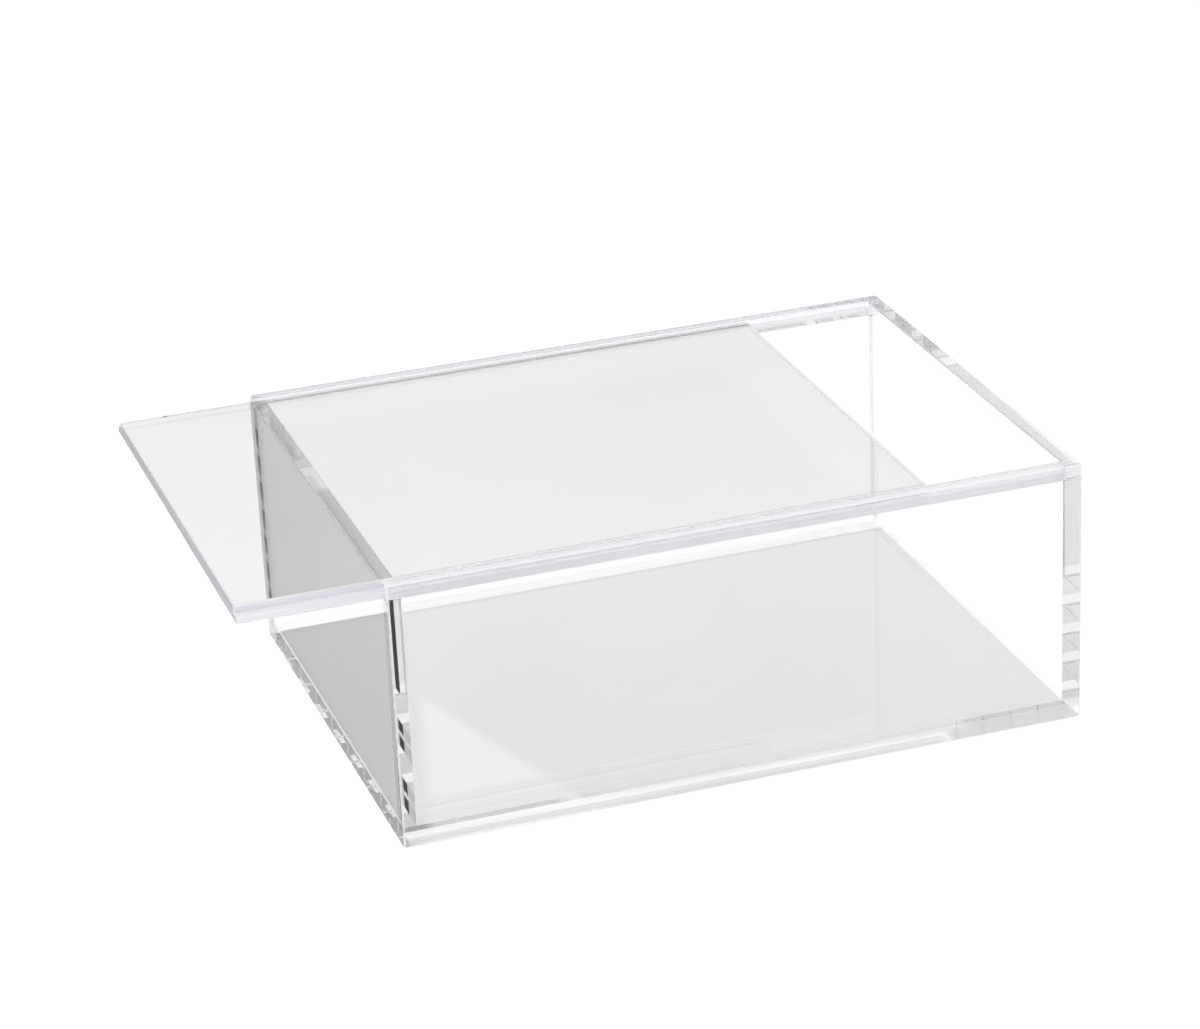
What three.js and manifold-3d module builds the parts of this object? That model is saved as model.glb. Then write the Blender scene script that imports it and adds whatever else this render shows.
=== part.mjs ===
// Clear sheet-acrylic display case that lies flat, with a lid that slides out at its left end.
// Millimetres, +Z up. Origin: centre of the case's underside. +X runs along the length towards the closed end.
import * as THREE from 'three';
import { mergeVertices } from 'three/addons/utils/BufferGeometryUtils.js';
import Module from 'manifold-3d';

// ---- driving dimensions ----
const LENGTH = 280;          // case, along X
const WIDTH = 208;           // case, along Y
const HEIGHT = 109;          // case, along Z, to the top of the rim strips
const SHEET = 6.35;          // thickness of the walls and width of every rim strip
const FLOOR = 6.8;           // thickness of the floor sheet
const RIM_HEIGHT = 6.4;      // height of the rim strips on the walls
const LIP = 2.9;             // part of a side rim strip that reaches over the lid's tongue
const GROOVE_DEPTH = 3.9;    // how far the groove under the lip goes in from the strip's inner face
const LID_CLEAR_BELOW = 0.3; // lid's underside above the walls' top edges
const TONGUE_HEIGHT = 2.9;   // lower step of the lid's long edges
const LID_CLEAR_TOP = 0.1;   // lid's top below the rim's top
const TONGUE_CLEAR = 0.3;    // tongue's edge to the bottom of the groove
const LID_SIDE_GAP = 0.7;    // upper step's edge to the rim strip's inner face
const STOP_GAP = 0.3;        // lid's end to the end strip when shut
const LID_OUT = 56;          // how far the lid is drawn out as stored

// ---- derived levels and half sizes ----
const hx = LENGTH / 2;
const hy = WIDTH / 2;
const wallTop = HEIGHT - RIM_HEIGHT;
const wallHeight = wallTop - FLOOR;
const innerX = hx - SHEET;
const innerY = hy - SHEET;
const grooveTop = HEIGHT - LIP;
const lidBottom = wallTop + LID_CLEAR_BELOW;
const lidTop = HEIGHT - LID_CLEAR_TOP;
const tongueTop = lidBottom + TONGUE_HEIGHT;
const tongueHalf = innerY + GROOVE_DEPTH - TONGUE_CLEAR;
const upperHalf = innerY - LID_SIDE_GAP;
const lidLength = LENGTH - SHEET - STOP_GAP;

const wasm = await Module();
wasm.setup();

// A closed geometry as a solid for cutting.
function toSolid(geometry) {
  const g = geometry.clone();
  g.deleteAttribute('normal');
  g.deleteAttribute('uv');
  const merged = mergeVertices(g, 1e-5);
  return new wasm.Manifold(new wasm.Mesh({
    numProp: 3,
    vertProperties: new Float32Array(merged.attributes.position.array),
    triVerts: new Uint32Array(merged.index.array),
  }));
}

// A solid back as a flat-shaded geometry.
function toGeometry(solid) {
  const mesh = solid.getMesh();
  const g = new THREE.BufferGeometry();
  g.setAttribute('position', new THREE.BufferAttribute(new Float32Array(mesh.vertProperties), 3));
  g.setIndex(new THREE.BufferAttribute(new Uint32Array(mesh.triVerts), 1));
  const flat = g.toNonIndexed();
  flat.computeVertexNormals();
  return flat;
}

// A box between two corners, as a geometry already in its place.
function boxBetween(x0, y0, z0, x1, y1, z1) {
  const g = new THREE.BoxGeometry(x1 - x0, y1 - y0, z1 - z0);
  g.translate((x0 + x1) / 2, (y0 + y1) / 2, (z0 + z1) / 2);
  return g;
}

// Polished clear acrylic, one material for each sheet.
function acrylic(color) {
  return new THREE.MeshStandardMaterial({
    color, roughness: 0.04, metalness: 0, transparent: true, opacity: 0.3,
  });
}

function piece(name, geometry, color) {
  const mesh = new THREE.Mesh(geometry, acrylic(color));
  mesh.name = name;
  return mesh;
}

const display_case = new THREE.Group();
const body = new THREE.Group();
const lid = new THREE.Group();
display_case.add(body, lid);

// ---- floor: one sheet over the whole footprint, and the walls stand on it ----
const base = piece('base_panel', new THREE.BoxGeometry(LENGTH, WIDTH, FLOOR), 0xe4e6ea);
base.position.set(0, 0, FLOOR / 2);
body.add(base);

// ---- walls: the long ones run full length, the short ones stand between them ----
const wallMidZ = FLOOR + wallHeight / 2;
const front = piece('front_wall', new THREE.BoxGeometry(LENGTH, SHEET, wallHeight), 0xf0f1f4);
front.position.set(0, -(hy - SHEET / 2), wallMidZ);
const back = piece('back_wall', new THREE.BoxGeometry(LENGTH, SHEET, wallHeight), 0xf0f1f4);
back.position.set(0, hy - SHEET / 2, wallMidZ);
const left = piece('left_end_wall', new THREE.BoxGeometry(SHEET, 2 * innerY, wallHeight), 0xeceef1);
left.position.set(-(hx - SHEET / 2), 0, wallMidZ);
const right = piece('right_end_wall', new THREE.BoxGeometry(SHEET, 2 * innerY, wallHeight), 0xeceef1);
right.position.set(hx - SHEET / 2, 0, wallMidZ);
body.add(front, back, left, right);

// ---- rim strips: a U on the walls' top edges, open at the left end ----
// The side strips are rabbeted from below, so that each makes a groove with the wall's top edge.
// The groove stops short of the closed end, where the strip is solid.
function sideStrip(name, side) {
  const y0 = Math.min(side * innerY, side * hy);
  const y1 = Math.max(side * innerY, side * hy);
  const strip = toSolid(boxBetween(-hx, y0, wallTop, hx, y1, HEIGHT));
  const deep = side * (innerY + GROOVE_DEPTH);
  const shallow = side * (innerY - 2);
  const groove = toSolid(boxBetween(
    -hx - 5, Math.min(deep, shallow), wallTop - 2,
    innerX, Math.max(deep, shallow), grooveTop,
  ));
  return piece(name, toGeometry(strip.subtract(groove)), 0xdcdde4);
}
body.add(sideStrip('front_rail', -1), sideStrip('back_rail', 1));
const end = piece('end_rail', new THREE.BoxGeometry(SHEET, 2 * innerY, RIM_HEIGHT), 0xdcdde4);
end.position.set(hx - SHEET / 2, 0, HEIGHT - RIM_HEIGHT / 2);
body.add(end);

// ---- lid: one sheet with a step along both long edges, flush with the rim ----
// The section lies in Y and Z and runs along X.
const section = new THREE.Shape([
  new THREE.Vector2(-tongueHalf, 0),
  new THREE.Vector2(tongueHalf, 0),
  new THREE.Vector2(tongueHalf, tongueTop - lidBottom),
  new THREE.Vector2(upperHalf, tongueTop - lidBottom),
  new THREE.Vector2(upperHalf, lidTop - lidBottom),
  new THREE.Vector2(-upperHalf, lidTop - lidBottom),
  new THREE.Vector2(-upperHalf, tongueTop - lidBottom),
  new THREE.Vector2(-tongueHalf, tongueTop - lidBottom),
]);
const lidGeometry = new THREE.ExtrudeGeometry(section, { depth: lidLength, bevelEnabled: false, steps: 1 });
// section axes to case axes: (section x, section y, run) become (Y, Z, X)
lidGeometry.applyMatrix4(new THREE.Matrix4().set(
  0, 0, 1, 0,
  1, 0, 0, 0,
  0, 1, 0, 0,
  0, 0, 0, 1,
));
const slidingLid = piece('sliding_lid', lidGeometry, 0xf4f5f7);
lid.position.set(-hx - LID_OUT, 0, lidBottom);
lid.add(slidingLid);

export default display_case;
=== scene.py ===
import math

import bmesh
import bpy
from mathutils import Matrix, Vector


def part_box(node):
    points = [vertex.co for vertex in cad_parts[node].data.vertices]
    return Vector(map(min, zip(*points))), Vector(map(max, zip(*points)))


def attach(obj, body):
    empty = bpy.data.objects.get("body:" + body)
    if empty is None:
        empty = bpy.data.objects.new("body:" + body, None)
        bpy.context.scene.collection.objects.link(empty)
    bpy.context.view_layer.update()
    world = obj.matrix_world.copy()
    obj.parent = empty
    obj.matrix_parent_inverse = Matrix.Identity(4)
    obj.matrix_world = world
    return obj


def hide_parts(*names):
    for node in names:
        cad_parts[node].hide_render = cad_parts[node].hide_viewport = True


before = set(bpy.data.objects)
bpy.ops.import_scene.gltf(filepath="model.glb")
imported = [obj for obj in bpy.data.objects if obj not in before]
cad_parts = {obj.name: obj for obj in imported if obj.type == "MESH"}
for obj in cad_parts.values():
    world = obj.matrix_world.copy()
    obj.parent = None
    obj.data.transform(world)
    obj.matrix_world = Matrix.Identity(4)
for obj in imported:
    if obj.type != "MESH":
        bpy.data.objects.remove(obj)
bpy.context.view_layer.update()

scene = bpy.context.scene
MM = 0.001

# ---------------------------------------------------------------- camera
# Solved from the case's outer corners in a 1200 x 1029 frame.
AZ, EL, ROLL = math.radians(-17.694), math.radians(23.4355), math.radians(-2.6149)
FOCAL_PX, DIST, SHIFT_R, SHIFT_U = 3836.40, 1.57811, -0.0252425, 0.0654370
back_dir = Vector((math.sin(AZ) * math.cos(EL), -math.cos(AZ) * math.cos(EL), math.sin(EL)))
forward = -back_dir
right0 = forward.cross(Vector((0, 0, 1))).normalized()
up0 = right0.cross(forward)
right = math.cos(ROLL) * right0 + math.sin(ROLL) * up0
up = -math.sin(ROLL) * right0 + math.cos(ROLL) * up0
cam_data = bpy.data.cameras.new("camera")
cam_data.sensor_fit = "HORIZONTAL"
cam_data.sensor_width = 36.0
cam_data.lens = FOCAL_PX * 36.0 / 1200.0
cam_data.clip_start, cam_data.clip_end = 0.05, 200.0
cam = bpy.data.objects.new("camera", cam_data)
scene.collection.objects.link(cam)
place = back_dir * DIST + right * SHIFT_R + up * SHIFT_U
cam.matrix_world = Matrix((
    (right.x, up.x, back_dir.x, place.x),
    (right.y, up.y, back_dir.y, place.y),
    (right.z, up.z, back_dir.z, place.z),
    (0, 0, 0, 1),
))
scene.camera = cam

# ---------------------------------------------------------------- node helpers
def new_material(name):
    mat = bpy.data.materials.new(name)
    mat.use_nodes = True
    nt = mat.node_tree
    nt.nodes.clear()
    return mat, nt


def add(nt, kind, **values):
    node = nt.nodes.new(kind)
    for key, value in values.items():
        setattr(node, key, value)
    return node


# ---------------------------------------------------------------- materials
def clear_plastic(nt, seed, tint, tint_scale, tint_spread):
    """A clear dielectric whose tint drifts a little from place to place. Returns the shader and the texture place."""
    out = add(nt, "ShaderNodeOutputMaterial")
    bsdf = add(nt, "ShaderNodeBsdfPrincipled")
    bsdf.inputs["IOR"].default_value = 1.49
    bsdf.inputs["Transmission Weight"].default_value = 1.0
    nt.links.new(bsdf.outputs[0], out.inputs["Surface"])
    coords = add(nt, "ShaderNodeTexCoord")
    place = add(nt, "ShaderNodeMapping")
    place.inputs["Location"].default_value = (seed * 0.37, seed * 0.11, seed * 0.23)
    nt.links.new(coords.outputs["Object"], place.inputs["Vector"])
    drift = add(nt, "ShaderNodeTexNoise")
    drift.inputs["Scale"].default_value = tint_scale
    drift.inputs["Detail"].default_value = 3.0
    nt.links.new(place.outputs[0], drift.inputs["Vector"])
    tone = add(nt, "ShaderNodeValToRGB")
    lo = tuple(c * (1 - tint_spread) for c in tint)
    hi = tuple(min(1.0, c * (1 + tint_spread)) for c in tint)
    tone.color_ramp.elements[0].position, tone.color_ramp.elements[0].color = 0.32, (*lo, 1)
    tone.color_ramp.elements[1].position, tone.color_ramp.elements[1].color = 0.68, (*hi, 1)
    nt.links.new(drift.outputs["Fac"], tone.inputs["Fac"])
    nt.links.new(tone.outputs["Color"], bsdf.inputs["Base Color"])
    return bsdf, place


def acrylic(name, tint, haze, wave, seed):
    """Polished sheet: faint wipe marks in the gloss, and the slight long waviness of cast sheet."""
    mat, nt = new_material(name)
    bsdf, place = clear_plastic(nt, seed, tint, 14.0, 0.008)
    # soft smudges, centimetres wide
    smudge = add(nt, "ShaderNodeTexNoise")
    smudge.inputs["Scale"].default_value = 38.0
    smudge.inputs["Detail"].default_value = 4.0
    smudge.inputs["Roughness"].default_value = 0.55
    nt.links.new(place.outputs[0], smudge.inputs["Vector"])
    gate = add(nt, "ShaderNodeMapRange")
    gate.inputs["From Min"].default_value = 0.55
    gate.inputs["From Max"].default_value = 0.85
    gate.inputs["To Min"].default_value = 0.0
    gate.inputs["To Max"].default_value = haze
    nt.links.new(smudge.outputs["Fac"], gate.inputs["Value"])
    nt.links.new(gate.outputs[0], bsdf.inputs["Roughness"])
    # cast sheet is never dead flat
    swell = add(nt, "ShaderNodeTexNoise")
    swell.inputs["Scale"].default_value = 9.0
    swell.inputs["Detail"].default_value = 1.0
    nt.links.new(place.outputs[0], swell.inputs["Vector"])
    bump = add(nt, "ShaderNodeBump")
    bump.inputs["Strength"].default_value = wave
    bump.inputs["Distance"].default_value = 0.0004
    nt.links.new(swell.outputs["Fac"], bump.inputs["Height"])
    nt.links.new(bump.outputs[0], bsdf.inputs["Normal"])
    return mat


def cut_edge(name, tint, run, seed):
    """Sawn and polished edge: faint long streaks along the cut, run is the sheet axis that they follow."""
    mat, nt = new_material(name)
    bsdf, place = clear_plastic(nt, seed, tint, 30.0, 0.03)
    stretch = [420.0, 420.0, 420.0]
    stretch[run] = 12.0
    place.inputs["Scale"].default_value = (1, 1, 1)
    along = add(nt, "ShaderNodeMapping")
    along.inputs["Scale"].default_value = stretch
    nt.links.new(place.outputs[0], along.inputs["Vector"])
    streak = add(nt, "ShaderNodeTexNoise")
    streak.inputs["Scale"].default_value = 1.0
    streak.inputs["Detail"].default_value = 3.0
    nt.links.new(along.outputs[0], streak.inputs["Vector"])
    gate = add(nt, "ShaderNodeMapRange")
    gate.inputs["From Min"].default_value = 0.40
    gate.inputs["From Max"].default_value = 0.80
    gate.inputs["To Min"].default_value = 0.0
    gate.inputs["To Max"].default_value = 0.025
    nt.links.new(streak.outputs["Fac"], gate.inputs["Value"])
    nt.links.new(gate.outputs[0], bsdf.inputs["Roughness"])
    return mat


def milled(name, tint, rough, clarity, run, seed):
    """Rabbeted or sawn face that was left satin: part of the light is scattered at its tool marks. Run is the sheet axis that they follow."""
    mat, nt = new_material(name)
    bsdf, place = clear_plastic(nt, seed, tint, 24.0, 0.02)
    bsdf.inputs["Transmission Weight"].default_value = clarity
    stretch = [350.0, 350.0, 350.0]
    stretch[run] = 9.0
    along = add(nt, "ShaderNodeMapping")
    along.inputs["Scale"].default_value = stretch
    nt.links.new(place.outputs[0], along.inputs["Vector"])
    marks = add(nt, "ShaderNodeTexNoise")
    marks.inputs["Scale"].default_value = 1.0
    marks.inputs["Detail"].default_value = 4.0
    marks.inputs["Roughness"].default_value = 0.6
    nt.links.new(along.outputs[0], marks.inputs["Vector"])
    gate = add(nt, "ShaderNodeMapRange")
    gate.inputs["From Min"].default_value = 0.30
    gate.inputs["From Max"].default_value = 0.70
    gate.inputs["To Min"].default_value = rough * 0.75
    gate.inputs["To Max"].default_value = rough * 1.25
    nt.links.new(marks.outputs["Fac"], gate.inputs["Value"])
    nt.links.new(gate.outputs[0], bsdf.inputs["Roughness"])
    bump = add(nt, "ShaderNodeBump")
    bump.inputs["Strength"].default_value = 0.04
    bump.inputs["Distance"].default_value = 0.0001
    nt.links.new(marks.outputs["Fac"], bump.inputs["Height"])
    nt.links.new(bump.outputs[0], bsdf.inputs["Normal"])
    return mat


def sawn_front(name, seed):
    """The floor's long front edge: sawn satin, with fine lines along the cut, and its tone painted in bands by height,
    darker at the foot and lighter above.
    """
    mat = milled(name, (0.97, 0.97, 0.975), 0.12, 0.80, 0, seed)
    nt = mat.node_tree
    bsdf = next(n for n in nt.nodes if n.type == "BSDF_PRINCIPLED")
    base = bsdf.inputs["Base Color"].links[0].from_socket
    coords = add(nt, "ShaderNodeTexCoord")
    parts = add(nt, "ShaderNodeSeparateXYZ")
    nt.links.new(coords.outputs["Object"], parts.inputs[0])
    # height of the line wanders a little along the edge
    wander = add(nt, "ShaderNodeTexNoise")
    wander.noise_dimensions = "1D"
    wander.inputs["Scale"].default_value = 18.0
    nt.links.new(parts.outputs["X"], wander.inputs["W"])
    level = add(nt, "ShaderNodeMath", operation="MULTIPLY_ADD")
    level.inputs[1].default_value = 0.0006
    nt.links.new(wander.outputs["Fac"], level.inputs[0])
    nt.links.new(parts.outputs["Z"], level.inputs[2])
    band = add(nt, "ShaderNodeValToRGB")
    grey = ((0.0, 0.72), (0.30, 0.66), (0.34, 0.56), (0.38, 0.68), (0.55, 0.64), (0.585, 0.48), (0.615, 0.87), (1.0, 0.93))
    els = band.color_ramp.elements
    els[0].position, els[0].color = grey[0][0], (*(grey[0][1],) * 3, 1)
    els[1].position, els[1].color = grey[-1][0], (*(grey[-1][1],) * 3, 1)
    for at, v in grey[1:-1]:
        e = els.new(at)
        e.color = (v, v, v, 1)
    span = add(nt, "ShaderNodeMapRange")
    span.inputs["From Min"].default_value = 0.0
    span.inputs["From Max"].default_value = 0.0068
    nt.links.new(level.outputs[0], span.inputs["Value"])
    nt.links.new(span.outputs[0], band.inputs["Fac"])
    # towards the left end the upper part is painted darker
    left_darker = add(nt, "ShaderNodeMapRange", interpolation_type="SMOOTHSTEP")
    left_darker.inputs["From Min"].default_value = -0.095
    left_darker.inputs["From Max"].default_value = -0.070
    left_darker.inputs["To Min"].default_value = 0.80
    left_darker.inputs["To Max"].default_value = 1.0
    nt.links.new(parts.outputs["X"], left_darker.inputs["Value"])
    cap = add(nt, "ShaderNodeMix", data_type="RGBA", blend_type="DARKEN")
    cap.inputs["Factor"].default_value = 1.0
    nt.links.new(band.outputs["Color"], cap.inputs["A"])
    nt.links.new(left_darker.outputs[0], cap.inputs["B"])
    # towards the right end the whole edge is painted light, bands and all
    right_whitening = add(nt, "ShaderNodeMapRange", interpolation_type="SMOOTHSTEP")
    right_whitening.inputs["From Min"].default_value = 0.078
    right_whitening.inputs["From Max"].default_value = 0.086
    nt.links.new(parts.outputs["X"], right_whitening.inputs["Value"])
    whitened_right = add(nt, "ShaderNodeMix", data_type="RGBA", blend_type="MIX")
    nt.links.new(right_whitening.outputs[0], whitened_right.inputs["Factor"])
    nt.links.new(cap.outputs["Result"], whitened_right.inputs["A"])
    whitened_right.inputs["B"].default_value = (1.0, 1.0, 1.0, 1)
    mix = add(nt, "ShaderNodeMix", data_type="RGBA", blend_type="MULTIPLY")
    mix.inputs["Factor"].default_value = 1.0
    nt.links.new(base, mix.inputs["A"])
    nt.links.new(whitened_right.outputs["Result"], mix.inputs["B"])
    nt.links.new(mix.outputs["Result"], bsdf.inputs["Base Color"])
    return mat


def weld(name, tint, seed):
    """Inside a solvent-welded seam the two sheets are one: light goes straight on, a little dimmed by the joint."""
    mat, nt = new_material(name)
    out = add(nt, "ShaderNodeOutputMaterial")
    clear = add(nt, "ShaderNodeBsdfTransparent")
    nt.links.new(clear.outputs[0], out.inputs["Surface"])
    if tint is None:
        clear.inputs["Color"].default_value = (1, 1, 1, 1)
        return mat
    coords = add(nt, "ShaderNodeTexCoord")
    place = add(nt, "ShaderNodeMapping")
    place.inputs["Location"].default_value = (seed * 0.29, seed * 0.19, seed * 0.07)
    nt.links.new(coords.outputs["Object"], place.inputs["Vector"])
    flow = add(nt, "ShaderNodeTexNoise")
    flow.inputs["Scale"].default_value = 70.0
    flow.inputs["Detail"].default_value = 2.0
    nt.links.new(place.outputs[0], flow.inputs["Vector"])
    tone = add(nt, "ShaderNodeValToRGB")
    tone.color_ramp.elements[0].position = 0.35
    tone.color_ramp.elements[0].color = (*(c * 0.985 for c in tint), 1)
    tone.color_ramp.elements[1].position = 0.65
    tone.color_ramp.elements[1].color = (*(min(1.0, c * 1.015) for c in tint), 1)
    nt.links.new(flow.outputs["Fac"], tone.inputs["Fac"])
    nt.links.new(tone.outputs["Color"], clear.inputs["Color"])
    return mat


FACE, EDGE, CLEAR, FOOT, POST, RIM, ARRIS, EXTRA = range(8)
# the floor sheet's tint: partly its own tone, partly painted shade from the shade under the case
floor_face = acrylic("floor_acrylic", (0.895, 0.895, 0.897), 0.02, 0.02, 1)
floor_edge = cut_edge("floor_cut_edge", (0.97, 0.97, 0.985), 1, 2)
floor_front = sawn_front("floor_front_edge", 17)
floor_back = cut_edge("floor_back_edge", (0.97, 0.97, 0.975), 0, 18)
floor_right = cut_edge("floor_right_edge", (0.97, 0.97, 0.98), 1, 19)
wall_face = acrylic("wall_acrylic", (0.992, 0.992, 0.994), 0.015, 0.02, 3)
wall_edge = cut_edge("wall_cut_edge", (0.97, 0.965, 0.985), 0, 4)
# the left end's tint: partly its own tone, partly painted shade from the dark room it mirrors
left_face = acrylic("left_end_acrylic", (0.935, 0.935, 0.938), 0.02, 0.02, 5)
left_edge = cut_edge("left_end_cut_edge", (0.975, 0.965, 1.0), 1, 6)
rim_side = acrylic("rim_sheet", (0.872, 0.862, 0.905), 0.02, 0.02, 7)
rim_edge = cut_edge("rim_cut_edge", (0.96, 0.955, 0.98), 0, 8)
back_rim_edge = cut_edge("back_rim_cut_edge", (0.72, 0.71, 0.765), 0, 27)
rim_groove = milled("rim_groove", (0.998, 0.992, 1.0), 0.30, 0.06, 0, 20)
end_rim_edge = cut_edge("end_rim_cut_edge", (0.90, 0.897, 0.92), 1, 9)
# the lid's tint: partly its own tone, partly painted shade from the darker room behind it
lid_face = acrylic("lid_sheet", (0.912, 0.912, 0.914), 0.02, 0.02, 10)
lid_end = milled("lid_end_cut", (0.70, 0.69, 0.75), 0.30, 0.10, 1, 11)
lid_side = milled("lid_step", (0.865, 0.85, 0.90), 0.35, 0.12, 0, 16)
lid_back = cut_edge("lid_back_step", (0.97, 0.965, 0.985), 0, 25)
lid_far = cut_edge("lid_far_cut_edge", (0.94, 0.94, 0.95), 1, 22)
arris = milled("scraped_arris", (0.99, 0.99, 0.995), 0.30, 0.45, 0, 21)
wall_end = milled("wall_sawn_end", (0.86, 0.85, 0.91), 0.16, 0.55, 1, 26)
wall_top = cut_edge("wall_top_edge", (0.985, 0.983, 0.99), 0, 23)
joint_clear = weld("joint_clear", None, 12)
joint_post = weld("joint_post", (0.82, 0.82, 0.825), 13)
joint_foot = weld("joint_foot", (0.97, 0.97, 0.975), 14)
joint_front = weld("joint_front", (0.97, 0.97, 0.975), 24)
joint_rim = weld("joint_rim", (0.985, 0.985, 0.99), 15)


def graded(mat, axis, lo, hi, tone_lo, tone_hi):
    """Multiplies a finish's colour by a tone that changes along one axis of the case."""
    nt = mat.node_tree
    node = next(n for n in nt.nodes if n.type in ("BSDF_PRINCIPLED", "BSDF_TRANSPARENT"))
    colour = node.inputs["Base Color" if node.type == "BSDF_PRINCIPLED" else "Color"]
    was = colour.links[0].from_socket
    coords = add(nt, "ShaderNodeTexCoord")
    parts = add(nt, "ShaderNodeSeparateXYZ")
    nt.links.new(coords.outputs["Object"], parts.inputs[0])
    tone = add(nt, "ShaderNodeMapRange", interpolation_type="SMOOTHSTEP")
    for key, value in (("From Min", lo), ("From Max", hi), ("To Min", tone_lo), ("To Max", tone_hi)):
        tone.inputs[key].default_value = value
    nt.links.new(parts.outputs[axis], tone.inputs["Value"])
    mix = add(nt, "ShaderNodeMix", data_type="RGBA", blend_type="MULTIPLY")
    mix.inputs["Factor"].default_value = 1.0
    nt.links.new(was, mix.inputs["A"])
    nt.links.new(tone.outputs[0], mix.inputs["B"])
    nt.links.new(mix.outputs["Result"], colour)


# painted shade: the front weld is darkened towards its left end, and the left wall's top edge towards the front
graded(joint_front, "X", -0.080, -0.060, 0.50, 1.0)
graded(left_edge, "Y", -0.004, 0.004, 0.42, 1.0)
finish = {
    "base_panel": (floor_face, floor_edge),
    "front_wall": (wall_face, wall_edge),
    "back_wall": (wall_face, wall_edge),
    "left_end_wall": (left_face, left_edge),
    "right_end_wall": (wall_face, wall_edge),
    "front_rail": (rim_side, rim_edge),
    "back_rail": (rim_side, back_rim_edge),
    "end_rail": (rim_side, end_rim_edge),
    "sliding_lid": (lid_face, lid_end),
}
joints = (joint_clear, joint_foot, joint_post, joint_rim, arris)

# ---------------------------------------------------------------- sheets
FREE_EDGE = 0.60 * MM   # eased outer edges
SEAM_EDGE = 0.02 * MM   # edges that meet in a welded seam
FLAT = 1e-6

box = {n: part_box(n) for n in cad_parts}
hx, hy = box["base_panel"][1].x, box["base_panel"][1].y
z_floor = box["base_panel"][1].z
z_wall = box["front_wall"][1].z
z_rim = box["front_rail"][1].z
in_x, in_y = box["right_end_wall"][0].x, box["back_wall"][0].y
# the groove under each side strip's lip
GROOVE_DEPTH, LIP = 3.9 * MM, 2.9 * MM
y_groove = in_y + GROOVE_DEPTH
z_groove = z_rim - LIP
# the lid's step
lid_lo, lid_hi = box["sliding_lid"]
TONGUE_HEIGHT, SIDE_GAP = 2.9 * MM, 0.7 * MM
y_upper = in_y - SIDE_GAP
z_tongue = lid_lo.z + TONGUE_HEIGHT

# A welded seam: the two pieces it joins, its joint, its plane (axis, place) and its rectangle in the other two axes, in X, Y, Z order.
# The second piece's side carries the joint, and stands JOINT_GAP back from the first's.
JOINT_GAP = 0.01 * MM
AX = {"x": 0, "y": 1, "z": 2}
seams = [
    (("base_panel", "front_wall"), FOOT, "z", z_floor, (-hx, hx), (-hy, -in_y)),
    (("base_panel", "back_wall"), FOOT, "z", z_floor, (-hx, hx), (in_y, hy)),
    (("base_panel", "left_end_wall"), FOOT, "z", z_floor, (-hx, -in_x), (-in_y, in_y)),
    (("base_panel", "right_end_wall"), FOOT, "z", z_floor, (in_x, hx), (-in_y, in_y)),
    (("front_wall", "left_end_wall"), POST, "y", -in_y, (-hx, -in_x), (z_floor, z_wall)),
    (("front_wall", "right_end_wall"), POST, "y", -in_y, (in_x, hx), (z_floor, z_wall)),
    (("back_wall", "left_end_wall"), POST, "y", in_y, (-hx, -in_x), (z_floor, z_wall)),
    (("back_wall", "right_end_wall"), POST, "y", in_y, (in_x, hx), (z_floor, z_wall)),
    (("front_wall", "front_rail"), RIM, "z", z_wall, (-hx, hx), (-hy, -y_groove)),
    (("front_wall", "front_rail"), RIM, "z", z_wall, (in_x, hx), (-y_groove, -in_y)),
    (("back_wall", "back_rail"), RIM, "z", z_wall, (-hx, hx), (y_groove, hy)),
    (("back_wall", "back_rail"), RIM, "z", z_wall, (in_x, hx), (in_y, y_groove)),
    (("right_end_wall", "end_rail"), RIM, "z", z_wall, (in_x, hx), (-in_y, in_y)),
    (("front_rail", "end_rail"), RIM, "y", -in_y, (in_x, hx), (z_wall, z_rim)),
    (("back_rail", "end_rail"), RIM, "y", in_y, (in_x, hx), (z_wall, z_rim)),
]


def in_seam(piece, point):
    """True if the point is on one of the piece's welded seams, rims included."""
    for pieces, joint, axis, at, r1, r2 in seams:
        if piece not in pieces:
            continue
        a = AX[axis]
        o1, o2 = [i for i in range(3) if i != a]
        if abs(point[a] - at) < FLAT and r1[0] - FLAT < point[o1] < r1[1] + FLAT and r2[0] - FLAT < point[o2] < r2[1] + FLAT:
            return True
    return False


def block(bm, lo, hi):
    """A box between two corners."""
    v = [bm.verts.new((x, y, z)) for x in (lo[0], hi[0]) for y in (lo[1], hi[1]) for z in (lo[2], hi[2])]
    for q in ((0, 1, 3, 2), (4, 6, 7, 5), (0, 4, 5, 1), (2, 3, 7, 6), (0, 2, 6, 4), (1, 5, 7, 3)):
        bm.faces.new([v[i] for i in q])


def prism(bm, section, x0, x1):
    """A section in Y and Z, run along X."""
    a = [bm.verts.new((x0, y, z)) for y, z in section]
    b = [bm.verts.new((x1, y, z)) for y, z in section]
    n = len(section)
    for i in range(n):
        j = (i + 1) % n
        bm.faces.new((a[i], a[j], b[j], b[i]))
    bm.faces.new(list(reversed(a)))
    bm.faces.new(b)


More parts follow.
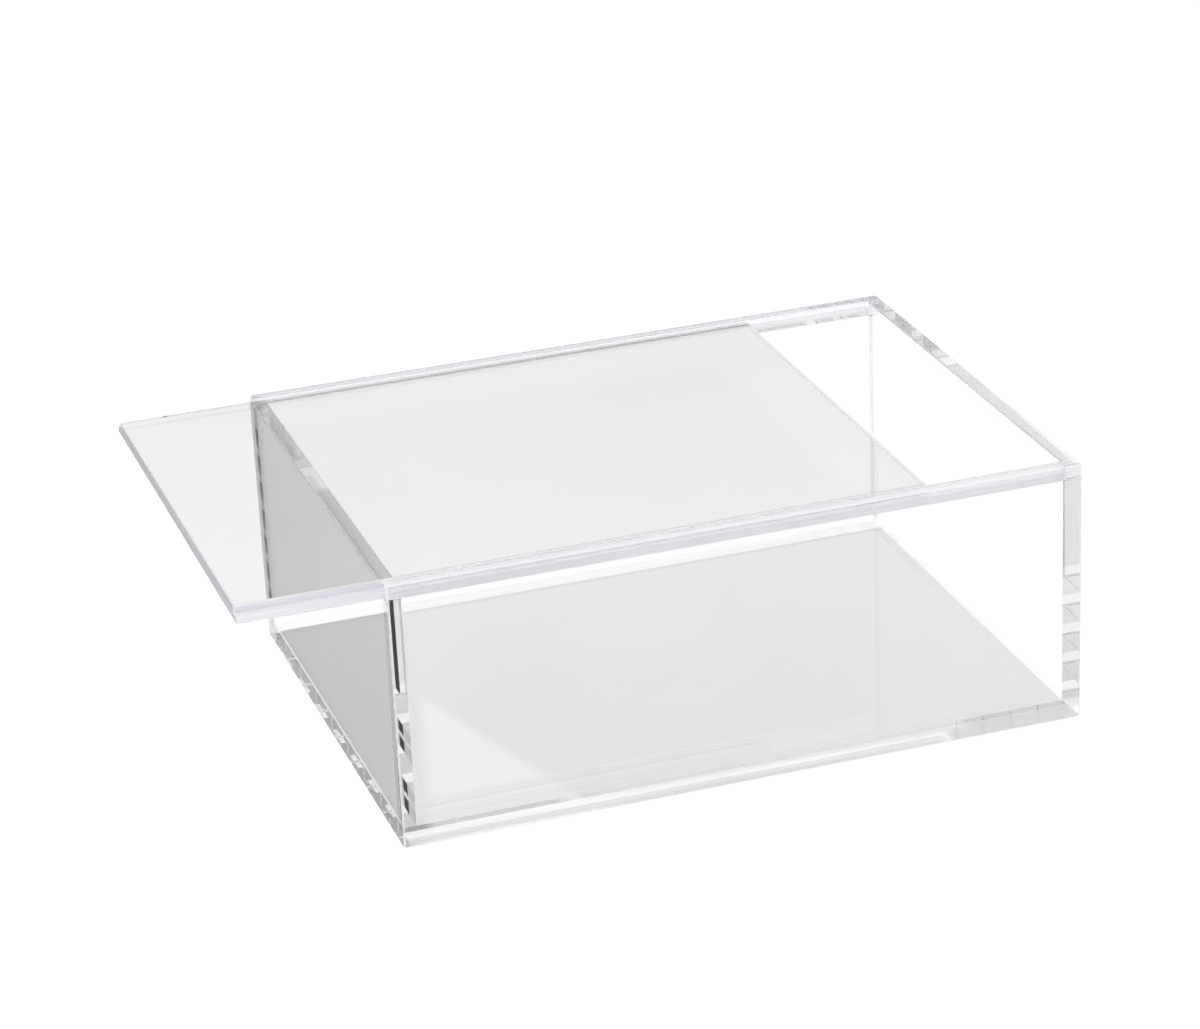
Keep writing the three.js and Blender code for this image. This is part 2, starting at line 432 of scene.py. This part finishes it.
def stopped_rail(bm, side):
    """A side strip with its groove, which stops short of the closed end."""
    y0, y1, yg = side * in_y, side * hy, side * y_groove
    xs = (-hx, in_x, hx)

    def v(x, y, z):
        key = (round(x, 7), round(y, 7), round(z, 7))
        if key not in made:
            made[key] = bm.verts.new((x, y, z))
        return made[key]

    made = {}
    faces = [
        # left end, an L
        [(xs[0], y1, z_wall), (xs[0], yg, z_wall), (xs[0], yg, z_groove), (xs[0], y0, z_groove), (xs[0], y0, z_rim), (xs[0], y1, z_rim)],
        # right end
        [(xs[2], y1, z_wall), (xs[2], y1, z_rim), (xs[2], y0, z_rim), (xs[2], y0, z_wall)],
        # top
        [(xs[0], y1, z_rim), (xs[0], y0, z_rim), (xs[2], y0, z_rim), (xs[2], y1, z_rim)],
        # outside
        [(xs[0], y1, z_wall), (xs[0], y1, z_rim), (xs[2], y1, z_rim), (xs[2], y1, z_wall)],
        # inside: the lip and the stopped end
        [(xs[0], y0, z_rim), (xs[0], y0, z_groove), (xs[1], y0, z_groove), (xs[1], y0, z_wall), (xs[2], y0, z_wall), (xs[2], y0, z_rim)],
        # underside of the lip
        [(xs[0], y0, z_groove), (xs[0], yg, z_groove), (xs[1], yg, z_groove), (xs[1], y0, z_groove)],
        # bottom of the groove
        [(xs[0], yg, z_groove), (xs[0], yg, z_wall), (xs[1], yg, z_wall), (xs[1], yg, z_groove)],
        # the groove's stop
        [(xs[1], y0, z_groove), (xs[1], yg, z_groove), (xs[1], yg, z_wall), (xs[1], y0, z_wall)],
        # underside
        [(xs[0], yg, z_wall), (xs[0], y1, z_wall), (xs[2], y1, z_wall), (xs[2], y0, z_wall), (xs[1], y0, z_wall), (xs[1], yg, z_wall)],
    ]
    for f in faces:
        bm.faces.new([v(*p) for p in f])


def mesh_of(name, shape):
    """The piece's mesh: sharp solid, eased edges, then its seam areas split off."""
    bm = bmesh.new()
    shape(bm)
    bmesh.ops.recalc_face_normals(bm, faces=bm.faces)
    weight = bm.edges.layers.float.new("bevel_weight_edge")
    for e in bm.edges:
        n1, n2 = (f.normal for f in e.link_faces)
        if n1.dot(n2) > 0.99:
            continue
        mid = (e.verts[0].co + e.verts[1].co) / 2
        c1 = e.link_faces[0].calc_center_median()
        concave = (c1 - mid).dot(n2) > 1e-9
        if concave:
            e[weight] = 0.0
        elif in_seam(name, mid):
            e[weight] = SEAM_EDGE / FREE_EDGE
        elif name == "sliding_lid" and mid.x > lid_hi.x - FLAT:
            e[weight] = 0.15
        else:
            e[weight] = 1.0
    mesh = bpy.data.meshes.new(name + "_sharp")
    bm.to_mesh(mesh)
    bm.free()
    sharp = bpy.data.objects.new(name + "_sharp", mesh)
    scene.collection.objects.link(sharp)
    ease = sharp.modifiers.new("ease", "BEVEL")
    ease.limit_method = "WEIGHT"
    ease.width = FREE_EDGE
    ease.segments = 3
    ease.profile = 0.5
    ease.use_clamp_overlap = True
    ease.loop_slide = True
    deps = bpy.context.evaluated_depsgraph_get()
    eased = bpy.data.meshes.new_from_object(sharp.evaluated_get(deps))
    bpy.data.objects.remove(sharp)
    bm = bmesh.new()
    bm.from_mesh(eased)
    bpy.data.meshes.remove(eased)
    # split the faces that meet in a seam along the seam's outline
    inset = SEAM_EDGE
    for pieces, joint, axis, at, r1, r2 in seams:
        if name not in pieces:
            continue
        a = AX[axis]
        o1, o2 = [i for i in range(3) if i != a]
        for o, r in ((o1, r1), (o2, r2)):
            for edge_at in (r[0] + inset, r[1] - inset):
                faces = [f for f in bm.faces if abs(f.normal[a]) > 0.999 and all(abs(v.co[a] - at) < FLAT for v in f.verts)]
                lo_hi = [v.co[o] for f in faces for v in f.verts]
                if not lo_hi or not min(lo_hi) + 1e-5 < edge_at < max(lo_hi) - 1e-5:
                    continue
                co, no = Vector((0, 0, 0)), Vector((0, 0, 0))
                co[o], no[o] = edge_at, 1.0
                geom = list({x for f in faces for x in [f, *f.edges, *f.verts]})
                bmesh.ops.bisect_plane(bm, geom=geom, dist=1e-7, plane_co=co, plane_no=no)
    for f in bm.faces:
        f.material_index = FACE
        c = f.calc_center_median()
        for pieces, joint, axis, at, r1, r2 in seams:
            if name not in pieces:
                continue
            a = AX[axis]
            o1, o2 = [i for i in range(3) if i != a]
            if abs(f.normal[a]) > 0.999 and abs(c[a] - at) < FLAT and r1[0] + inset - FLAT < c[o1] < r1[1] - inset + FLAT and r2[0] + inset - FLAT < c[o2] < r2[1] - inset + FLAT:
                f.material_index = joint if name == pieces[1] else CLEAR
    moved = {}
    for f in bm.faces:
        if f.material_index > CLEAR:
            for v in f.verts:
                moved.setdefault(v, []).append(f.normal.copy())
    for v, normals in moved.items():
        unique = []
        for n in normals:
            if all(n.dot(u) < 0.99 for u in unique):
                unique.append(n)
        for n in unique:
            v.co -= n * JOINT_GAP
    made = bpy.data.meshes.new(name + "_sheet")
    bm.to_mesh(made)
    bm.free()
    return made


def thin_axis(name):
    lo, hi = box[name]
    size = hi - lo
    return min(range(3), key=lambda i: size[i])


# Faces with a finish of their own: the lid's steps, the side strips' grooves and what lies under them, and three of the floor's edges.
def on_step(n, c):
    return abs(n.y) > 0.9 or (n.z > 0.98 and abs(c.z - z_tongue) < FLAT)


def in_groove(n, c):
    return (abs(n.y) > 0.98 and abs(abs(c.y) - y_groove) < FLAT) or (n.z < -0.98 and abs(c.z - z_groove) < FLAT)


extra = {
    "front_wall": ((wall_top, lambda n, c: n.z > 0.98),),
    "back_wall": ((wall_top, lambda n, c: n.z > 0.98), (wall_end, lambda n, c: n.x < -0.98)),
    "sliding_lid": ((lid_back, lambda n, c: c.y > 0 and on_step(n, c)), (lid_side, on_step), (lid_far, lambda n, c: n.x > 0.98)),
    "front_rail": ((rim_groove, in_groove),),
    "back_rail": ((rim_groove, in_groove),),
    "base_panel": (
        (floor_front, lambda n, c: n.y < -0.98),
        (floor_back, lambda n, c: n.y > 0.98),
        (floor_right, lambda n, c: n.x > 0.98),
    ),
}


def place_piece(name, shape, body):
    mesh = mesh_of(name, shape)
    # the sheet's two broad faces are cast, everything round them is cut
    t = thin_axis(name)
    for p in mesh.polygons:
        if p.material_index == FACE:
            n = [abs(c) for c in p.normal]
            if max(n) < 0.995:
                p.material_index = ARRIS
            elif n[t] < 0.98:
                p.material_index = EDGE
    for m in (*finish[name], *joints):
        mesh.materials.append(joint_front if name == "front_wall" and m == joint_foot else m)
    for i, (m, test) in enumerate(extra.get(name, ())):
        mesh.materials.append(m)
        for p in mesh.polygons:
            if p.material_index in (FACE, EDGE) and test(p.normal, p.center):
                p.material_index = EXTRA + i
    obj = bpy.data.objects.new(name + "_clear", mesh)
    scene.collection.objects.link(obj)
    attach(obj, body)
    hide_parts(name)
    return obj


for name in ("base_panel", "front_wall", "back_wall", "left_end_wall", "right_end_wall"):
    place_piece(name, lambda bm, n=name: block(bm, *box[n]), "case")
place_piece("front_rail", lambda bm: stopped_rail(bm, -1), "case")
place_piece("back_rail", lambda bm: stopped_rail(bm, 1), "case")
place_piece("end_rail", lambda bm: block(bm, *box["end_rail"]), "case")
tw = lid_hi.y
lid_section = [
    (-tw, lid_lo.z), (tw, lid_lo.z), (tw, z_tongue), (y_upper, z_tongue),
    (y_upper, lid_hi.z), (-y_upper, lid_hi.z), (-y_upper, z_tongue), (-tw, z_tongue),
]
place_piece("sliding_lid", lambda bm: prism(bm, lid_section, lid_lo.x, lid_hi.x), "lid")

# ---------------------------------------------------------------- stage
floor_mesh = bpy.data.meshes.new("floor")
S, ZF = 30.0, -0.0003
floor_mesh.from_pydata([(-S, -S, ZF), (S, -S, ZF), (S, S, ZF), (-S, S, ZF)], [], [(0, 1, 2, 3)])
floor = bpy.data.objects.new("floor", floor_mesh)
scene.collection.objects.link(floor)
mat, nt = new_material("floor_white")
out = add(nt, "ShaderNodeOutputMaterial")
bsdf = add(nt, "ShaderNodeBsdfPrincipled")
bsdf.inputs["Base Color"].default_value = (0.1, 0.1, 0.1, 1)
bsdf.inputs["Roughness"].default_value = 0.9
bsdf.inputs["Specular IOR Level"].default_value = 0.0
bsdf.inputs["Emission Color"].default_value = (1, 1, 1, 1)
# the soft shade under the case, strongest along its back edge
ft = add(nt, "ShaderNodeTexCoord")
fs = add(nt, "ShaderNodeSeparateXYZ")
nt.links.new(ft.outputs["Object"], fs.inputs[0])


def f_step(value, lo, hi, to_lo=0.0, to_hi=1.0):
    node = add(nt, "ShaderNodeMapRange", interpolation_type="SMOOTHSTEP")
    nt.links.new(value, node.inputs["Value"])
    for key, v in (("From Min", lo), ("From Max", hi), ("To Min", to_lo), ("To Max", to_hi)):
        node.inputs[key].default_value = v
    return node.outputs[0]


def f_math(operation, a, b):
    node = add(nt, "ShaderNodeMath", operation=operation)
    for i, value in enumerate((a, b)):
        if isinstance(value, (int, float)):
            node.inputs[i].default_value = value
        else:
            nt.links.new(value, node.inputs[i])
    return node.outputs[0]


side_on = f_math("MULTIPLY", f_step(fs.outputs["X"], -0.137, -0.135), f_step(fs.outputs["X"], 0.1354, 0.1370, 1.0, 0.0))
along_y = f_math("MULTIPLY", f_step(fs.outputs["Y"], -hy - 0.002, -hy + 0.004), f_step(fs.outputs["Y"], 0.0940, 0.0956, 1.0, 0.0))
rim_line = f_math("MULTIPLY", f_step(fs.outputs["Y"], 0.0905, 0.0935), 0.10)
shade = f_math("MULTIPLY", f_math("MULTIPLY", side_on, along_y), f_math("ADD", rim_line, 0.28))
nt.links.new(f_math("SUBTRACT", 1.03, shade), bsdf.inputs["Emission Strength"])
nt.links.new(bsdf.outputs[0], out.inputs["Surface"])
floor_mesh.materials.append(mat)

# A black flag beside the case's back left corner, which paints dark reflections as dark lines in clear edges.
# Only light that was guided along a sheet meets it, so that it never shows through a flat face.
flag_mesh = bpy.data.meshes.new("flag")
fx0, fx1, fy, fz = -hx + 0.0026, -hx + 0.0043, hy + 0.0006, 0.060
flag_mesh.from_pydata([(fx0, fy, 0), (fx1, fy, 0), (fx1, fy, fz), (fx0, fy, fz)], [], [(0, 1, 2, 3)])
flag = bpy.data.objects.new("flag", flag_mesh)
scene.collection.objects.link(flag)
mat, nt = new_material("flag_black")
out = add(nt, "ShaderNodeOutputMaterial")
see = add(nt, "ShaderNodeLightPath")
deep = add(nt, "ShaderNodeMath", operation="GREATER_THAN")
deep.inputs[1].default_value = 4.5
nt.links.new(see.outputs["Ray Depth"], deep.inputs[0])
through = add(nt, "ShaderNodeBsdfTransparent")
black = add(nt, "ShaderNodeEmission")
black.inputs["Color"].default_value = (0.02, 0.016, 0.012, 1)
pick = add(nt, "ShaderNodeMixShader")
nt.links.new(deep.outputs[0], pick.inputs[0])
nt.links.new(through.outputs[0], pick.inputs[1])
nt.links.new(black.outputs[0], pick.inputs[2])
nt.links.new(pick.outputs[0], out.inputs["Surface"])
flag_mesh.materials.append(mat)
flag.visible_shadow = False
flag.visible_diffuse = False

# Dark cards that paint dark reflections into the clear sheet to give it a tone. Two lie on the floor beside the left
# end with a gap in line with the case's back, the nearer with a grey rim, and one hangs behind the case where the lid's
# top mirrors it. They show only as reflections.
def dark_card(name, tone, corners):
    mat, nt = new_material(name)
    out = add(nt, "ShaderNodeOutputMaterial")
    dark = add(nt, "ShaderNodeEmission")
    dark.inputs["Color"].default_value = (tone, tone, tone, 1)
    nt.links.new(dark.outputs[0], out.inputs["Surface"])
    mesh = bpy.data.meshes.new(name)
    mesh.from_pydata(corners, [], [(0, 1, 2, 3)])
    mesh.materials.append(mat)
    card = bpy.data.objects.new(name, mesh)
    scene.collection.objects.link(card)
    card.visible_camera = False
    card.visible_transmission = False
    card.visible_diffuse = False
    card.visible_shadow = False


CARD_Y = 1.5


def mirrored(x, y):
    """Where the camera sees the hanging card in the lid's top at this place."""
    run = (CARD_Y - y) / (y - place.y)
    return (x + run * (x - place.x), CARD_Y, lid_hi.z + run * (place.z - lid_hi.z))


cz = 0.0002
fc = (-0.60, -hx - 0.0050, -hx - 0.0003)
dark_card("floor_card", 0.09, [(fc[0], -0.16, cz), (fc[1], -0.16, cz), (fc[1], hy, cz), (fc[0], hy, cz)])
dark_card("floor_card_rim", 0.75, [(fc[1], -0.16, cz), (fc[2], -0.16, cz), (fc[2], hy, cz), (fc[1], hy, cz)])
# the back card's right side is where the camera sees it mirrored along the left wall's back end
lean = (hx + place.x) / (in_y - place.y)
fb = (hy + 0.0135, 0.60)
dark_card("floor_card_back", 0.09, [(fc[0], fb[0], cz), (-hx + (fb[0] - in_y) * lean, fb[0], cz), (-hx + (fb[1] - in_y) * lean, fb[1], cz), (fc[0], fb[1], cz)])
card_x = (lid_lo.x - 0.02, in_x - 0.0003)
dark_card("hanging_card", 0.03, [mirrored(card_x[0], y_upper), mirrored(card_x[1], y_upper), mirrored(card_x[1], -y_upper), mirrored(card_x[0], -y_upper)])

# ---------------------------------------------------------------- light
# A white room. Its tone drifts with height, and one large soft source stands high behind the case, to the left.
world = bpy.data.worlds.new("studio")
scene.world = world
world.use_nodes = True
wt = world.node_tree
wt.nodes.clear()
w_out = add(wt, "ShaderNodeOutputWorld")
w_bg = add(wt, "ShaderNodeBackground")
wt.links.new(w_bg.outputs[0], w_out.inputs["Surface"])
w_co = add(wt, "ShaderNodeTexCoord")
w_sep = add(wt, "ShaderNodeSeparateXYZ")
wt.links.new(w_co.outputs["Generated"], w_sep.inputs[0])


def w_math(operation, a, b=None, c=None, clamp=False):
    node = add(wt, "ShaderNodeMath", operation=operation, use_clamp=clamp)
    for i, value in enumerate((a, b, c)):
        if value is None:
            continue
        if isinstance(value, (int, float)):
            node.inputs[i].default_value = value
        else:
            wt.links.new(value, node.inputs[i])
    return node.outputs[0]


def w_step(value, lo, hi):
    node = add(wt, "ShaderNodeMapRange", interpolation_type="SMOOTHSTEP")
    wt.links.new(value, node.inputs["Value"])
    node.inputs["From Min"].default_value = lo
    node.inputs["From Max"].default_value = hi
    return node.outputs[0]


elevation = w_math("MULTIPLY", w_math("ARCSINE", w_sep.outputs["Z"]), 180 / math.pi)
azimuth = w_math("MULTIPLY", w_math("ARCTAN2", w_sep.outputs["X"], w_sep.outputs["Y"]), 180 / math.pi)
ramp = add(wt, "ShaderNodeValToRGB")
ramp.color_ramp.interpolation = "EASE"
# elevation in degrees and tone
stops = [
    (0, (0.92, 0.92, 0.93)),
    (20, (0.90, 0.90, 0.91)),
    (23, (0.96, 0.96, 0.965)),
    (24.5, (0.98, 0.98, 0.98)),
    (27, (0.78, 0.78, 0.785)),
    (35, (0.85, 0.85, 0.86)),
    (46, (1.05, 1.05, 1.05)),
    (60, (1.25, 1.25, 1.25)),
]
els = ramp.color_ramp.elements
els[0].position, els[0].color = stops[0][0] / 90, (*stops[0][1], 1)
els[1].position, els[1].color = stops[-1][0] / 90, (*stops[-1][1], 1)
for at, colour in stops[1:-1]:
    e = els.new(at / 90)
    e.color = (*colour, 1)
wt.links.new(w_math("DIVIDE", elevation, 90.0), ramp.inputs["Fac"])
# the soft source's slanted lower edge, its right side and its left side
slant = w_math("SUBTRACT", elevation, w_math("MULTIPLY_ADD", azimuth, 0.63, 16.83))
source = w_math("MULTIPLY", w_step(slant, -0.12, 0.12), w_math("SUBTRACT", 1.0, w_step(azimuth, 30.0, 40.0)))
source = w_math("MULTIPLY", source, w_step(azimuth, 14.45, 14.75))
source = w_math("MULTIPLY", source, w_math("SUBTRACT", 1.0, w_step(elevation, 38.0, 46.0)))
glow = w_math("MULTIPLY", w_math("SUBTRACT", 1.0, w_step(azimuth, 14.6, 16.0)), w_step(azimuth, 14.45, 14.75))
lift = w_math("ADD", w_math("MULTIPLY", source, 0.60), w_math("MULTIPLY", glow, 0.04))
w_sum = add(wt, "ShaderNodeVectorMath", operation="ADD")
wt.links.new(ramp.outputs["Color"], w_sum.inputs[0])
wt.links.new(lift, w_sum.inputs[1])
# the camera and its stand are a dark spot on their side of the room
spot = w_math("MAXIMUM", w_step(azimuth, 150.0, 155.0), w_step(w_math("MULTIPLY", azimuth, -1.0), 158.0, 180.0))
front = w_math("MULTIPLY", spot, w_math("SUBTRACT", 1.0, w_step(elevation, 34.0, 38.0)))
w_dim = add(wt, "ShaderNodeVectorMath", operation="SCALE")
wt.links.new(w_sum.outputs[0], w_dim.inputs[0])
wt.links.new(w_math("MULTIPLY_ADD", front, -0.75, 1.0), w_dim.inputs["Scale"])
wt.links.new(w_dim.outputs[0], w_bg.inputs["Color"])
w_bg.inputs["Strength"].default_value = 1.0

# ---------------------------------------------------------------- light transport and tone
scene.cycles.max_bounces = 40
scene.cycles.transmission_bounces = 40
scene.cycles.glossy_bounces = 40
scene.cycles.diffuse_bounces = 24
scene.cycles.blur_glossy = 0.0
scene.cycles.transparent_max_bounces = 48
scene.view_settings.view_transform = "Standard"
scene.view_settings.look = "None"
